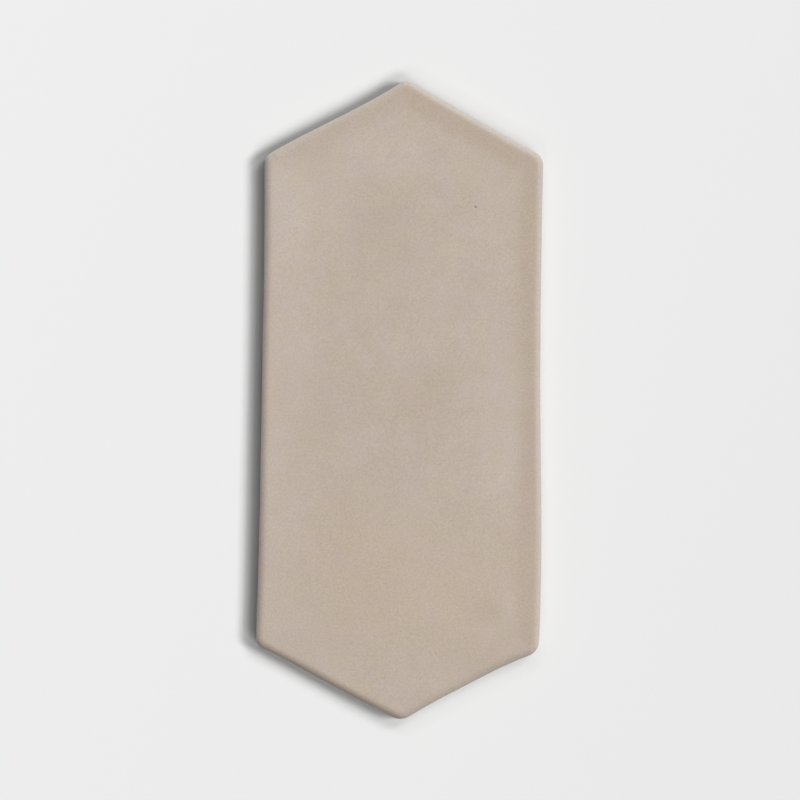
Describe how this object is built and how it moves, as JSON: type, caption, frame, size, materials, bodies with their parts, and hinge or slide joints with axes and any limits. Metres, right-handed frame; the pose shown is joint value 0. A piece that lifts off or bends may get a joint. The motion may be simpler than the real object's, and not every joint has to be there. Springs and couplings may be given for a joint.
{
  "type": "picket tile",
  "caption": "Long hexagonal picket wall tile in satin glazed ceramic, with pointed ends, a softly rolled face edge and a flat back for bedding.",
  "frame": {"origin": "middle of the tile's box in plan, on the plane of its flat back", "axes": "+Z out of the glazed face, +Y along the long axis towards the head point, +X towards the right-hand long side as seen from above"},
  "size_m": [0.1016, 0.2278, 0.0095],
  "materials": {
    "glaze": "satin"
  },
  "bodies": {
    "root": {"tile": "glaze"}
  },
  "joints": []
}
